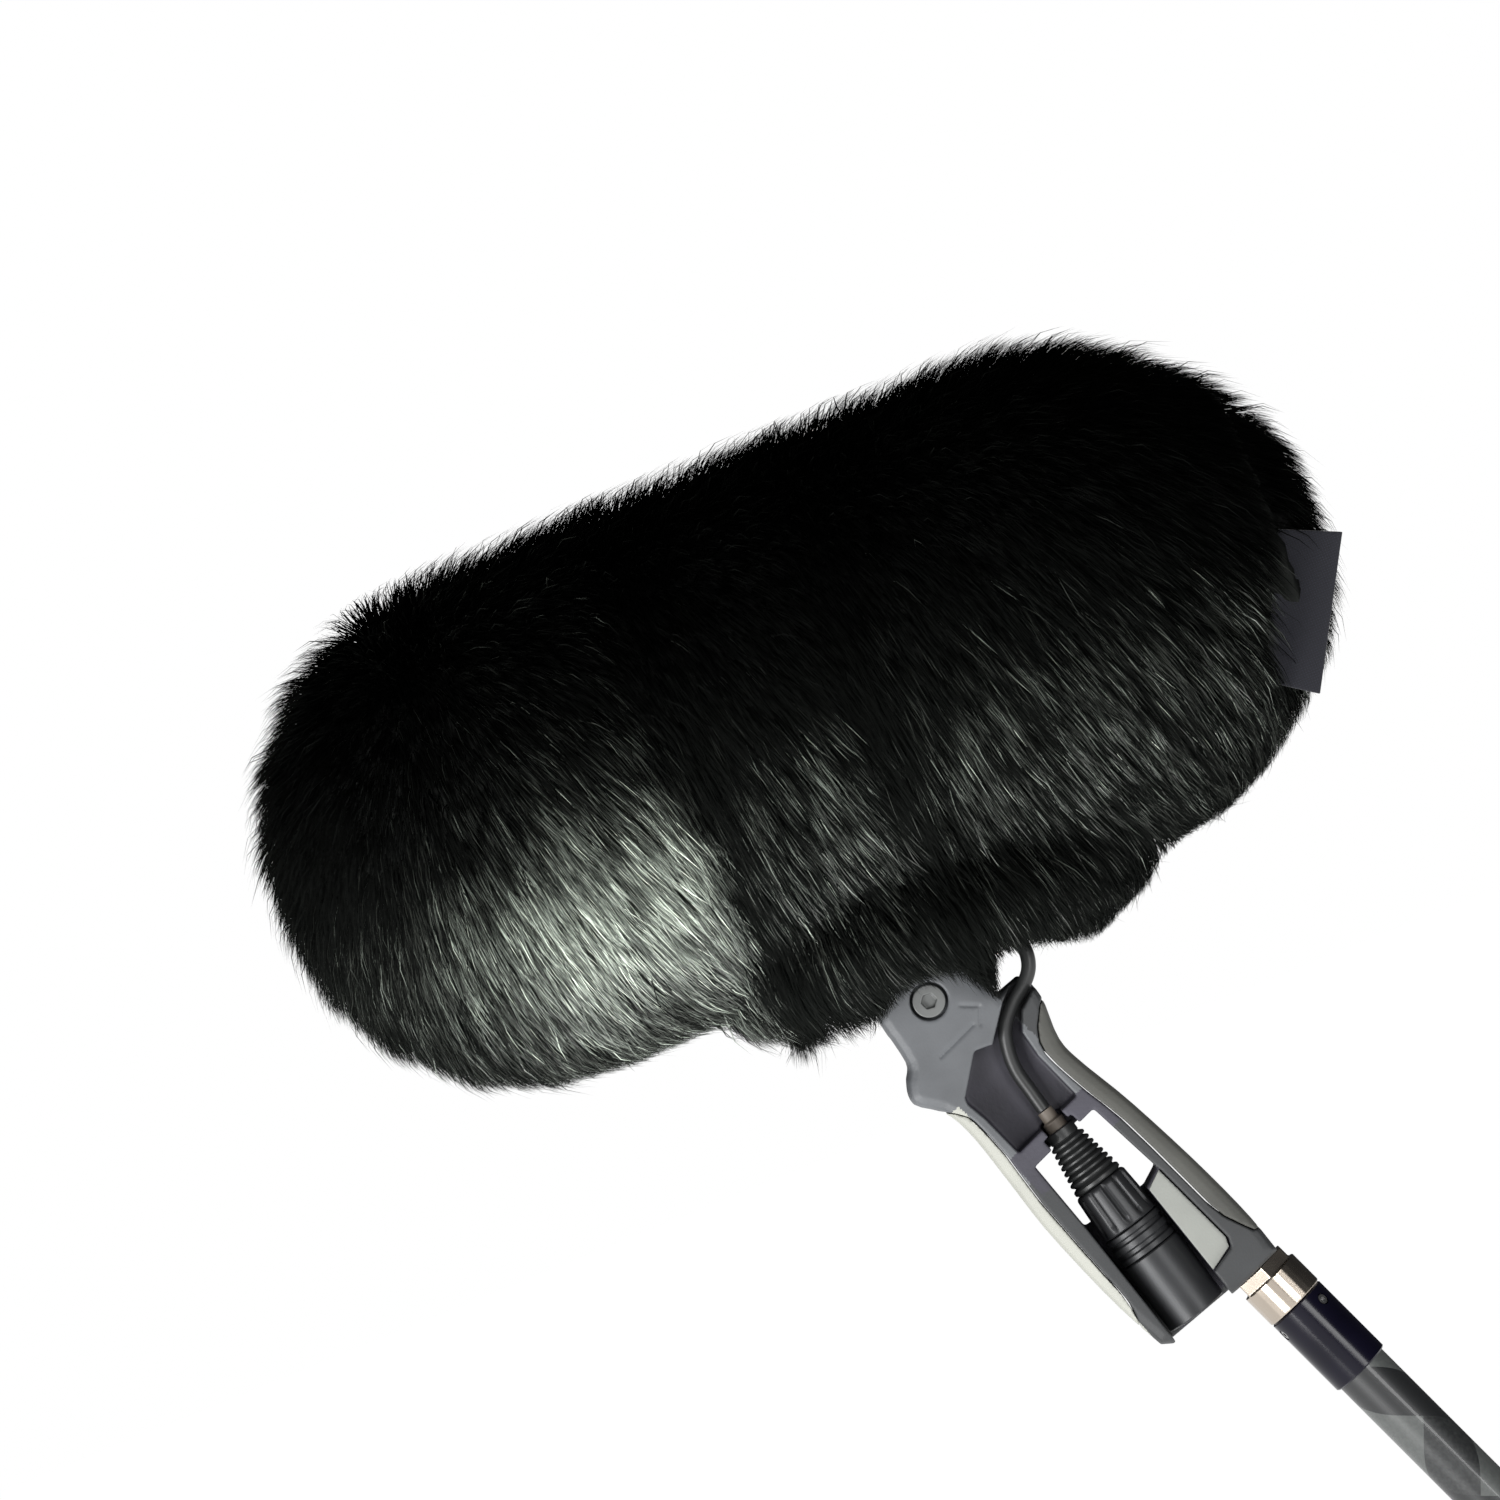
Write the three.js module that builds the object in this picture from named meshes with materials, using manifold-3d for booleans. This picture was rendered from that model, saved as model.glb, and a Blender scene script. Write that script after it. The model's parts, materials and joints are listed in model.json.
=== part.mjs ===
// A furry windscreen for a shotgun microphone, on its pistol-grip handle and the tip of a boom pole.
// Millimetres, +Z up. The windscreen points its nose at -X and its basket axis lies along X.
// The model is drawn around the tilt pivot, then moved so that the origin is the pole's lower end.
import * as THREE from 'three';
import { mergeVertices } from 'three/addons/utils/BufferGeometryUtils.js';
import Module from 'manifold-3d';

const wasm = await Module();
wasm.setup();

// ---- driving dimensions ----
const GAP = 0.3;                    // air left between pieces that touch
const AXIS_HEIGHT = 92;             // basket axis above the tilt pivot
const BASKET_RADIUS = 50;
const BASKET_WALL = 2;
const BASKET_END = 136;             // half length of the basket
const BASKET_STRAIGHT = 100;        // half length of its straight wall
const BASKET_MIDDLE = 60;           // half length of its middle pod
const FUR_RADIUS = 72;
const FUR_FRONT = -160;
const FUR_REAR = 152;
const LABEL_DEPTH = -29;
const POCKET_RADIUS = 36;           // room in the fur's underside for the handle's head
const POD_SIDES = 16;
const END_STEPS = 5;
const MIC_RADIUS = 10.5;
const MIC_SIDES = 16;
const MIC_FRONT = -126;
const MIC_REAR = 60;
const RAIL_LOW = 50;
const RAIL_HIGH = 54;
const LYRE_X = 58;                  // each lyre sits this far before and behind the stalk
const LEAD_RADIUS = 2.1;
const HANDLE_LEAN = THREE.MathUtils.degToRad(23);
const HANDLE_HALF_WIDTH = 15;
const HANDLE_EDGE = 3;              // rounding of the handle's long edges
const HEAD_RADIUS = 15.3;
const SLOT_HALF_WIDTH = 5.3;        // the stalk's tongue turns in this slot of the head
const RECESS_FLOOR = -1.5;
const CAVITY_FLOOR = 7.4;
const PLUG_Y = -4;
const PLUG_LEAN = THREE.MathUtils.degToRad(7.87);
const POLE_U = 13;                  // the pole's axis, behind the pivot in the handle's own frame
const HANDLE_FOOT = -120;
const POLE_END = -225;
const TUBE_RADIUS = 8.15;

// ---- colours and finishes ----
const FINISHES = {
  fur: { color: 0x1b1d1c, roughness: 1.0, metalness: 0 },
  label: { color: 0x14161f, roughness: 0.9, metalness: 0 },
  basket: { color: 0x2a2b2d, roughness: 0.7, metalness: 0 },
  lyre: { color: 0x1d1d1f, roughness: 0.5, metalness: 0 },
  blackMetal: { color: 0x101114, roughness: 0.35, metalness: 0.6 },
  nickel: { color: 0xc8b9a5, roughness: 0.2, metalness: 1 },
  steel: { color: 0x9a9a9a, roughness: 0.35, metalness: 1 },
  midGrey: { color: 0x5f6269, roughness: 0.6, metalness: 0 },
  lightGrey: { color: 0xbebeb9, roughness: 0.8, metalness: 0 },
  oliveGrey: { color: 0x555550, roughness: 0.85, metalness: 0 },
  darkRubber: { color: 0x17171a, roughness: 0.75, metalness: 0 },
  carbon: { color: 0x4a4d4c, roughness: 0.45, metalness: 0.1 },
};

// ---- geometry helpers ----
function enclosedVolume(geometry) {
  const corner = (i) => new THREE.Vector3().fromBufferAttribute(geometry.attributes.position, i);
  const index = geometry.index.array;
  let total = 0;
  for (let i = 0; i < index.length; i += 3) {
    total += corner(index[i]).dot(corner(index[i + 1]).cross(corner(index[i + 2]))) / 6;
  }
  return total;
}

// One closed skin: shared vertices merged, empty triangles dropped, faces outward.
function closed(geometry) {
  const bare = geometry.clone();
  bare.deleteAttribute('normal');
  bare.deleteAttribute('uv');
  const merged = mergeVertices(bare, 1e-4);
  const index = merged.index.array;
  const kept = [];
  for (let i = 0; i < index.length; i += 3) {
    const [a, b, c] = [index[i], index[i + 1], index[i + 2]];
    if (a !== b && b !== c && c !== a) {
      kept.push(a, b, c);
    }
  }
  merged.setIndex(kept);
  if (enclosedVolume(merged) < 0) {
    merged.setIndex(kept.reverse());
  }
  return merged;
}

function solid(geometry) {
  const skin = closed(geometry);
  const mesh = new wasm.Mesh({
    numProp: 3,
    vertProperties: new Float32Array(skin.attributes.position.array),
    triVerts: new Uint32Array(skin.index.array),
  });
  return new wasm.Manifold(mesh);
}

function skinOf(manifold) {
  const mesh = manifold.getMesh();
  const geometry = new THREE.BufferGeometry();
  geometry.setAttribute('position', new THREE.BufferAttribute(new Float32Array(mesh.vertProperties), 3));
  geometry.setIndex(Array.from(mesh.triVerts));
  return geometry;
}

function joined(...geometries) {
  return skinOf(geometries.map(solid).reduce((whole, next) => whole.add(next)));
}

function cut(base, ...tools) {
  return skinOf(tools.map(solid).reduce((whole, tool) => whole.subtract(tool), solid(base)));
}

function common(a, b) {
  return skinOf(solid(a).intersect(solid(b)));
}

function block(x0, x1, y0, y1, z0, z1) {
  const geometry = new THREE.BoxGeometry(x1 - x0, y1 - y0, z1 - z0);
  return geometry.translate((x0 + x1) / 2, (y0 + y1) / 2, (z0 + z1) / 2);
}

// A flat outline in X and Z, given its thickness along Y.
function plate(points, y0, y1, edge = 0) {
  const shape = new THREE.Shape(points.map(([x, z]) => new THREE.Vector2(x, z)));
  const geometry = new THREE.ExtrudeGeometry(shape, {
    depth: y1 - y0 - 2 * edge,
    bevelEnabled: edge > 0,
    bevelThickness: edge,
    bevelSize: edge,
    bevelOffset: -edge,
    bevelSegments: 2,
  });
  return geometry.rotateX(Math.PI / 2).translate(0, y1 - edge, 0);
}

// A pin along Y, centred on (x, z).
function pinY(x, z, radius, y0, y1, sides = 20) {
  return new THREE.CylinderGeometry(radius, radius, y1 - y0, sides).translate(x, (y0 + y1) / 2, z);
}

// A pin along Z, centred on (x, y).
function pinZ(x, y, radius, z0, z1, sides = 20) {
  const pin = new THREE.CylinderGeometry(radius, radius, z1 - z0, sides).rotateX(Math.PI / 2);
  return pin.translate(x, y, (z0 + z1) / 2);
}

// A profile of [radius, place along the axis] points, turned about the X or Z axis.
function turned(profile, axis, sides = 24) {
  const points = profile.map(([radius, along]) => new THREE.Vector2(radius, along));
  const geometry = new THREE.LatheGeometry(points, sides);
  return axis === 'x' ? geometry.rotateZ(-Math.PI / 2) : geometry.rotateX(Math.PI / 2);
}

function along(points, steps) {
  return new THREE.SplineCurve(points.map(([x, z]) => new THREE.Vector2(x, z))).getPoints(steps)
    .map((point) => [point.x, point.y]);
}

function arc(radius, fromDegrees, toDegrees, steps) {
  const points = [];
  for (let i = 0; i <= steps; i += 1) {
    const angle = THREE.MathUtils.degToRad(fromDegrees + ((toDegrees - fromDegrees) * i) / steps);
    points.push([radius * Math.cos(angle), radius * Math.sin(angle)]);
  }
  return points;
}

function swept(section, route, steps) {
  const path = new THREE.CatmullRomCurve3(route.map(([x, y, z]) => new THREE.Vector3(x, y, z)));
  const shape = new THREE.Shape(section.map(([x, y]) => new THREE.Vector2(x, y)));
  return new THREE.ExtrudeGeometry(shape, { steps, bevelEnabled: false, extrudePath: path });
}

function cable(route, steps, sides = 8) {
  return swept(arc(LEAD_RADIUS, 0, 360 - 360 / sides, sides - 1), route, steps);
}

function piece(name, finish, geometry) {
  const mesh = new THREE.Mesh(closed(geometry), new THREE.MeshStandardMaterial(FINISHES[finish]));
  mesh.name = name;
  return mesh;
}

// ---- windscreen: fur, basket, suspension and microphone ----
function atAxis(geometry) {
  return geometry.translate(0, 0, AXIS_HEIGHT);
}

// The tab is sewn in on the open side of the handle; its inner edge runs on under the pile.
function labelTab(grow) {
  const outline = [[141 - grow, 87 + 2 * grow], [157.5 + grow, 79.5 + grow],
    [134.5 + grow, 39.5 - 2 * grow], [121.5 - 2 * grow, 48.5 - grow]];
  return plate(outline, LABEL_DEPTH - 0.6 - grow, LABEL_DEPTH + 0.6 + grow);
}

// Quarter of an ellipse, from the full radius where the basket stops being straight to its tip.
function roundEnd(radius, end) {
  return arc(1, 0, 90, END_STEPS).map(([out, forward], i) => [i === END_STEPS ? 0 : radius * out,
    BASKET_STRAIGHT + (end - BASKET_STRAIGHT) * forward]);
}

function furCover() {
  const outside = atAxis(turned([[0, FUR_FRONT], [22, -157.5], [42, -148], [60, -131], [69, -112],
    [FUR_RADIUS, -90], [FUR_RADIUS, 78], [68, 98], [60, 115], [48, 131], [35, 143], [20, 150],
    [0, FUR_REAR]], 'x', 28));
  const skirt = turned([[0, -2], [26, -2], [34, 1], [50, 8], [66, 16], [76, 27], [70, 50], [0, 60]], 'z', 28);
  skirt.scale(1, 0.72, 1).translate(8, 0, 0);
  const rearCap = roundEnd(BASKET_RADIUS + 1, BASKET_END + 2);
  const frontCap = rearCap.map(([radius, x]) => [radius, -x]).reverse();
  const inside = atAxis(turned([...frontCap, ...rearCap], 'x', POD_SIDES));
  return cut(joined(outside, skirt), inside,
    pinY(0, 0, POCKET_RADIUS, -18.5, 28, 28),
    pinY(0, 0, 13, -80, 80, 20),
    block(-24, 47, -18.5, 18.5, 10, 50),
    labelTab(0.4));
}

function shell(sign) {
  const start = BASKET_MIDDLE + GAP;
  const inner = BASKET_RADIUS - BASKET_WALL;
  const profile = [...roundEnd(inner, BASKET_END - BASKET_WALL).reverse(), [inner, start],
    [BASKET_RADIUS, start], ...roundEnd(BASKET_RADIUS, BASKET_END)];
  const side = turned(profile, 'x', POD_SIDES);
  return atAxis(sign > 0 ? side : side.rotateZ(Math.PI));
}

function middlePod() {
  const inner = BASKET_RADIUS - BASKET_WALL;
  const tube = turned([[inner, -BASKET_MIDDLE], [BASKET_RADIUS, -BASKET_MIDDLE],
    [BASKET_RADIUS, BASKET_MIDDLE], [inner, BASKET_MIDDLE], [inner, -BASKET_MIDDLE]], 'x', POD_SIDES);
  return cut(atAxis(tube), block(-18, 53, -17, 17, 30, 62));
}

function podRing(x) {
  const outer = BASKET_RADIUS - BASKET_WALL - GAP;
  const inner = outer - 2;
  return atAxis(turned([[inner, x - 4], [outer, x - 4], [outer, x + 4], [inner, x + 4], [inner, x - 4]],
    'x', POD_SIDES));
}

function stalk() {
  const tongue = plate([...arc(11, 180, 360, 12), [9, 12], [9, 20], [-9, 20], [-9, 12]], -4, 4);
  const arm = plate([[-9, 17.5], [9, 17.5], [9, 34], [16, 46], [-16, 46], [-9, 34]], -7, 7);
  const base = block(-30, 18, -7, 7, 45.6, RAIL_LOW - GAP);
  const screwHoles = [-22, 12].map((x) => pinZ(x, 0, 1.8, 40, 60, 16));
  return cut(joined(tongue, arm, base), pinY(0, 0, 4.3, -20, 20), ...screwHoles);
}

function rail() {
  return cut(block(-80, 80, -7, 7, RAIL_LOW, RAIL_HIGH),
    ...[-22, 12].map((x) => pinZ(x, 0, 1.8, 40, 60, 16)));
}

function railScrew(x) {
  return joined(pinZ(x, 0, 1.5, 46.5, RAIL_HIGH + 1, 16),
    pinZ(x, 0, 3, RAIL_HIGH + GAP, RAIL_HIGH + 2.3, 16));
}

function lyre(x) {
  const right = [[8, 61.9], [22, 70], [26, 88], [20, 100], [14.2, 95.5]];
  const left = right.map(([y, z]) => [-y, z]).reverse();
  const route = [...left, [0, 61.6], ...right].map(([y, z]) => [x, y, z]);
  return swept([[-6, -1], [6, -1], [6, 1], [-6, 1]], route, 24);
}

function clipRing(x) {
  const [inner, outer] = [MIC_RADIUS + GAP, MIC_RADIUS + 2.1];
  return atAxis(turned([[inner, x - 6], [outer, x - 6], [outer, x + 6], [inner, x + 6], [inner, x - 6]],
    'x', MIC_SIDES));
}

function microphoneTube() {
  const tube = turned([[0, MIC_FRONT + 14.3], [MIC_RADIUS, MIC_FRONT + 14.3], [MIC_RADIUS, MIC_REAR - 1],
    [MIC_RADIUS - 1, MIC_REAR], [0, MIC_REAR]], 'x', MIC_SIDES);
  return atAxis(tube);
}

function microphoneGrille() {
  return atAxis(turned([[0, MIC_FRONT], [8, MIC_FRONT], [MIC_RADIUS, MIC_FRONT + 2.5],
    [MIC_RADIUS, MIC_FRONT + 14], [0, MIC_FRONT + 14]], 'x', MIC_SIDES));
}

function microphonePlug() {
  const start = MIC_REAR + GAP;
  return atAxis(turned([[0, start], [9.4, start], [9.4, start + 30], [7, start + 33], [3.2, start + 47],
    [0, start + 47]], 'x', MIC_SIDES));
}

const INNER_ROUTE = [[107.8, 0, 92], [116, 0, 91], [125, 0, 83], [124, 3, 67], [108, 8, 54.5],
  [85, 12, 52], [60, 12.5, 52], [42, 12, 46.5], [33, 9, 37], [30.5, 3, 26], [30.3, -4, 15], [29.9, -7, 6.9]];

function windscreen() {
  const group = new THREE.Group();
  group.add(
    piece('fur_cover', 'fur', furCover()),
    piece('label_tab', 'label', labelTab(0)),
    piece('basket_front', 'basket', shell(-1)),
    piece('basket_middle', 'basket', middlePod()),
    piece('basket_rear', 'basket', shell(1)),
    piece('basket_ring_front', 'lyre', podRing(-BASKET_MIDDLE)),
    piece('basket_ring_rear', 'lyre', podRing(BASKET_MIDDLE + GAP)),
    piece('stalk', 'lyre', stalk()),
    piece('suspension_rail', 'blackMetal', rail()),
    piece('rail_screw_front', 'steel', railScrew(-22)),
    piece('rail_screw_rear', 'steel', railScrew(12)),
    piece('microphone_tube', 'blackMetal', microphoneTube()),
    piece('microphone_grille', 'steel', microphoneGrille()),
    piece('microphone_plug', 'blackMetal', microphonePlug()),
    piece('inner_lead', 'darkRubber', cable(INNER_ROUTE, 42)),
  );
  for (const [end, x] of [['front', -LYRE_X], ['rear', LYRE_X]]) {
    group.add(
      piece(`lyre_base_${end}`, 'lyre', block(x - 8, x + 8, -9, 9, RAIL_HIGH + GAP, 60.2)),
      piece(`lyre_${end}`, 'lyre', lyre(x)),
      piece(`microphone_clip_${end}`, 'lyre', clipRing(x)),
    );
  }
  return group;
}

// ---- handle, drawn upright in its own frame: x to the back, z up along the pole ----
const FRONT_EDGE = [[-22.3, -115.5], [-23.3, -98], [-22.5, -71], [-20.3, -52.7], [-18.4, -36],
  [-19.2, -26], [-23.8, -17.8], [-21.2, -12.6], [-17.4, -9], [-HEAD_RADIUS, 0]];
const BACK_EDGE = [[24.3, -15.6], [23.2, -22.7], [18.7, -33.5], [18.4, -43], [20.3, -61], [21.4, -85],
  [21.3, -106], [20, -119.9]];
const FRONT_PAD_SEAM = [[-26, -20], [-21.4, -22.7], [-15.8, -30], [-14.9, -35], [-15.5, -48], [-17.7, -62],
  [-19.5, -89], [-19.9, -97], [-21, -103.6], [-24, -111]];
const BACK_PAD_SEAM = [[30, -20.5], [23, -22], [15.5, -28], [12.9, -33.6], [12.9, -42], [13.8, -52.7],
  [15, -62], [15.4, -80], [15.4, -98], [16.8, -104.5], [20.3, -112.3], [30, -114]];
const UPPER_RECESS = [[-0.9, -19.1], [-12.3, -26.8], [-12.9, -28.6], [-12.3, -35], [-12.5, -48.5],
  [10.8, -48.5], [11, -33], [12.5, -25], [17, -20.5], [23, -18.7], [30, -18], [30, -9], [14.5, -15],
  [4.1, -21.4]];
const WINDOW = [[-12, -54.5], [11.4, -54.5], [12.5, -79.5], [6.3, -81.4], [-14.1, -78]];
const LOWER_CAVITY = [[-13.2, -70], [8, -70], [6.3, -81.4], [1.6, -124], [-19.4, -124], [-14.8, -84]];
const PANEL = [[6.4, -82], [12.3, -80], [12.3, -107], [11, -109.5], [3.2, -111]];
const CASE_SCREWS = [[-9, -18.5], [8.4, -51.5], [9.8, -90]];

function handleOutline() {
  return [...along(FRONT_EDGE, 30), ...arc(HEAD_RADIUS, 176, -8, 12), [15.2, -12.8], [22.6, -13.4],
    ...along(BACK_EDGE, 24), [4.5, -119.9], [-19.5, -117.9]];
}

function wholeHandle() {
  return plate(handleOutline(), -HANDLE_HALF_WIDTH, HANDLE_HALF_WIDTH, HANDLE_EDGE);
}

function frontPadZone(inset) {
  const seam = along(FRONT_PAD_SEAM, 16).map(([x, z]) => [x - inset, z]);
  return plate([...seam, [-40, -111], [-40, -20]], -20, 20);
}

function backPadZone(inset) {
  const seam = along(BACK_PAD_SEAM, 18).map(([x, z]) => [x + inset, z]);
  return plate([...seam, [40, -114], [40, -20]], -20, 20);
}

function arrowMark() {
  const stroke = plate([[-9.5, -14.1], [4.8, -14.1], [4.8, -13], [-9.5, -13]], -16, -14.5);
  const chevron = plate([[5.4, -6.2], [10, -11.1], [5.4, -16], [4.5, -15.2], [8.3, -11.1], [4.5, -7]],
    -16, -14.5);
  return [stroke, chevron];
}

function insertHole() {
  return pinZ(POLE_U, 0, 6.1, -130, -108.2);
}

function handleCore() {
  const screwHoles = CASE_SCREWS.flatMap(([x, z]) => [
    pinY(x, z, 1.55, -8.3, 14, 12),
    pinY(x, z, 2.7, 12.3, 20, 16),
  ]);
  const boltHole = [pinY(0, 0, 4.3, -20, 20, 24), pinY(0, 0, 5.5, -20, -11.2, 28)];
  const slot = [pinY(0, 0, 12.5, -SLOT_HALF_WIDTH, SLOT_HALF_WIDTH),
    block(-30, 30, -SLOT_HALF_WIDTH, SLOT_HALF_WIDTH, -4, 30)];
  const neckNotch = [block(-3.2, 4.6, -20, 1.2, -52, -48), block(-5.2, 5.9, -20, 1.2, -55, -51.1)];
  const panelSeat = plate([[5.6, -79.5], [12.7, -79.5], [12.7, -107.4], [11.3, -110], [1.6, -111.6]],
    -20, -10);
  return cut(wholeHandle(), frontPadZone(0), backPadZone(0),
    plate(UPPER_RECESS, -20, RECESS_FLOOR), plate(WINDOW, -20, 20), plate(LOWER_CAVITY, -20, CAVITY_FLOOR),
    panelSeat, insertHole(), ...arrowMark(), ...slot, ...boltHole, ...neckNotch, ...screwHoles);
}

function caseScrew([x, z]) {
  return joined(pinY(x, z, 1.25, -8, 12.8, 12), pinY(x, z, 2.4, 12.6, 14.8, 16));
}

function pivotBolt() {
  return joined(
    cut(pinY(0, 0, 4.7, -14.7, -11.5, 28), pinY(0, 0, 2.3, -16, -13, 6)),
    pinY(0, 0, 4, -11.6, 14, 24),
    pinY(0, 0, 3, 13.9, 22, 20),
  );
}

function frictionWasher(side) {
  const [low, high] = side < 0 ? [-5, -4.3] : [4.3, 5];
  return cut(pinY(0, 0, 10, low, high, 32), pinY(0, 0, 4.3, -20, 20, 24));
}

function clampLever() {
  const arm = plate([[-5.5, 0], [5.5, 0], [4, -28], ...arc(4, 0, -180, 8).map(([x, z]) => [x, z - 28]),
    [-4, -28]], 19, 24, 1);
  return cut(joined(pinY(0, 0, 8, 15.6, 24), arm), pinY(0, 0, 3.4, 10, 22.4, 16));
}

// The plug's own frame: its axis is z, the lead comes in at the top and the contacts face down.
function boot() {
  const profile = [[0, 2.5], [2.3, 2.5], [2.4, -0.7], [3.2, -1.3], [3.2, -4], [4.6, -4.2], [4.6, -7.5]];
  for (let fin = 0; fin < 7; fin += 1) {
    const top = -8.2 - fin * 1.85;
    const radius = 5.6 + fin * 0.3;
    profile.push([4.4 + fin * 0.25, top + 0.7], [radius, top], [radius, top - 1]);
  }
  profile.push([6.4, -21], [7.7, -21.4], [7.7, -23], [0, -23]);
  return turned(profile.reverse(), 'z', 16);
}

function plugCap() {
  const body = turned([[0, -38], [9.1, -38], [8.3, -24.2], [7.6, -23.3], [0, -23.3]], 'z', 24);
  const flutes = [];
  for (let i = 0; i < 12; i += 1) {
    const turn = (i / 12) * Math.PI * 2;
    flutes.push(pinZ(9.9 * Math.cos(turn), 9.9 * Math.sin(turn), 1.5, -36, -20, 8));
  }
  return cut(body, ...flutes);
}

function plugRing() {
  return turned([[0, -47], [9.2, -47], [9.2, -45.4], [8.6, -45], [8.6, -44], [9.2, -43.6], [9.2, -41.8],
    [8.6, -41.4], [8.6, -40.4], [9.2, -40], [9.2, -38.6], [8.9, -38.3], [0, -38.3]], 'z', 20);
}

function plugBarrel() {
  return turned([[0, -49.3], [7.9, -49.3], [7.9, -69.5], [9, -69.5], [9.4, -69.1], [9.4, -47.7],
    [9, -47.3], [0, -47.3]], 'z', 24);
}

function contactInsert() {
  const pins = [90, 210, 330].map((degrees) => {
    const turn = THREE.MathUtils.degToRad(degrees);
    return pinZ(4 * Math.cos(turn), 4 * Math.sin(turn), 1.2, -64.4, -55.5, 10);
  });
  return joined(pinZ(0, 0, 7.6, -56, -49.6, 20), ...pins);
}

function plugSaddle() {
  return cut(block(-7, 7, 7, CAVITY_FLOOR - PLUG_Y - GAP, -64, -50), pinZ(0, 0, 9.75, -80, -40, 24));
}

function plug() {
  const group = new THREE.Group();
  group.position.set(0.9, PLUG_Y, -48);
  group.rotation.y = PLUG_LEAN;
  group.add(
    piece('cable_boot', 'darkRubber', boot()),
    piece('plug_cap', 'blackMetal', plugCap()),
    piece('plug_ring', 'blackMetal', plugRing()),
    piece('plug_barrel', 'blackMetal', plugBarrel()),
    piece('contact_insert', 'nickel', contactInsert()),
    piece('plug_saddle', 'oliveGrey', plugSaddle()),
  );
  return group;
}

const LOOP_ROUTE = [[30, -7, -6.4], [29.3, -7.6, -10], [26.6, -8, -13.6], [22.5, -8, -15.8],
  [16.8, -7.6, -17.4], [10.5, -7, -20.5], [6.4, -6, -25.5], [3.6, -5, -31.8], [2.3, -4.3, -39],
  [1.3, -4, -45.1]];

function handle() {
  const core = handleCore();
  const group = new THREE.Group();
  group.add(
    piece('handle_left', 'midGrey', cut(core, block(-60, 60, -GAP / 2, 60, -150, 60))),
    piece('handle_right', 'midGrey', cut(core, block(-60, 60, -60, GAP / 2, -150, 60))),
    piece('front_pad', 'lightGrey', common(wholeHandle(), frontPadZone(GAP))),
    piece('back_pad', 'oliveGrey', cut(common(wholeHandle(), backPadZone(GAP)), insertHole())),
    piece('inner_panel', 'lightGrey', plate(PANEL, -12.3, -10.3)),
    piece('thread_insert', 'steel', cut(pinZ(POLE_U, 0, 5.8, -119.6, -108.5),
      pinZ(POLE_U, 0, 4.95, -130, -100))),
    piece('pivot_bolt', 'blackMetal', pivotBolt()),
    piece('friction_washer_left', 'darkRubber', frictionWasher(-1)),
    piece('friction_washer_right', 'darkRubber', frictionWasher(1)),
    piece('clamp_lever', 'blackMetal', clampLever()),
    piece('lead_loop', 'darkRubber', cable(LOOP_ROUTE, 26)),
    plug(),
  );
  CASE_SCREWS.forEach((place, i) => group.add(piece(`case_screw_${i + 1}`, 'steel', caseScrew(place))));
  return group;
}

// ---- boom pole tip, in the handle's frame ----
const SCREW_TURNS = [45, 165, 285];   // degrees from -Y toward +X
const SCREW_HEIGHT = -139.3;

function radial(geometry, degrees) {
  const turn = THREE.MathUtils.degToRad(degrees);
  return geometry.rotateZ(turn).translate(POLE_U, 0, SCREW_HEIGHT);
}

function poleTip() {
  return joined(
    pinZ(POLE_U, 0, 4.6, -120.4, -109.8, 16),
    pinZ(POLE_U, 0, 9.3, -124.6, HANDLE_FOOT - GAP, 6),
    pinZ(POLE_U, 0, 9.35, -134.9, -124.5, 28),
    pinZ(POLE_U, 0, 6.3, -150, -134.8, 20),
  );
}

function poleCollar() {
  const ring = turned([[8.45, -161.5], [8.9, -161.5], [9.2, -161], [9.2, -135.5], [8.9, -135.2],
    [6.6, -135.2], [6.6, -142.6], [8.45, -142.6], [8.45, -161.5]], 'z', 24).translate(POLE_U, 0, 0);
  return cut(ring, ...SCREW_TURNS.map((degrees) => radial(pinY(0, 0, 1.8, -12, -5, 12), degrees)));
}

function setScrew(degrees) {
  const screw = cut(pinY(0, 0, 1.5, -8.9, -6.9, 12), pinY(0, 0, 0.8, -10, -7.8, 6));
  return radial(screw, degrees);
}

function poleTube() {
  const inner = TUBE_RADIUS - 1.5;
  return turned([[inner, POLE_END], [TUBE_RADIUS, POLE_END], [TUBE_RADIUS, -143], [inner, -143],
    [inner, POLE_END]], 'z', 24).translate(POLE_U, 0, 0);
}

function pole() {
  const group = new THREE.Group();
  group.add(
    piece('pole_tip', 'nickel', poleTip()),
    piece('pole_collar', 'blackMetal', poleCollar()),
    piece('pole_tube', 'carbon', poleTube()),
  );
  SCREW_TURNS.forEach((degrees, i) => group.add(piece(`set_screw_${i + 1}`, 'steel', setScrew(degrees))));
  return group;
}

// ---- the whole, moved so that the pole's lower end is the origin ----
const leaning = new THREE.Group();
leaning.rotation.y = -HANDLE_LEAN;
leaning.add(handle(), pole());

const model = new THREE.Group();
model.add(windscreen(), leaning);
const poleEnd = new THREE.Vector3(POLE_U, 0, POLE_END).applyEuler(leaning.rotation);
model.position.copy(poleEnd).negate();

export default model;
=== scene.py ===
"""Looks of the furry windscreen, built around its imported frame. Metres, +Z up, nose toward -X."""
import json
import math

import bmesh
import bpy
import numpy as np
from mathutils import Matrix, Vector
from mathutils.kdtree import KDTree

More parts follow.
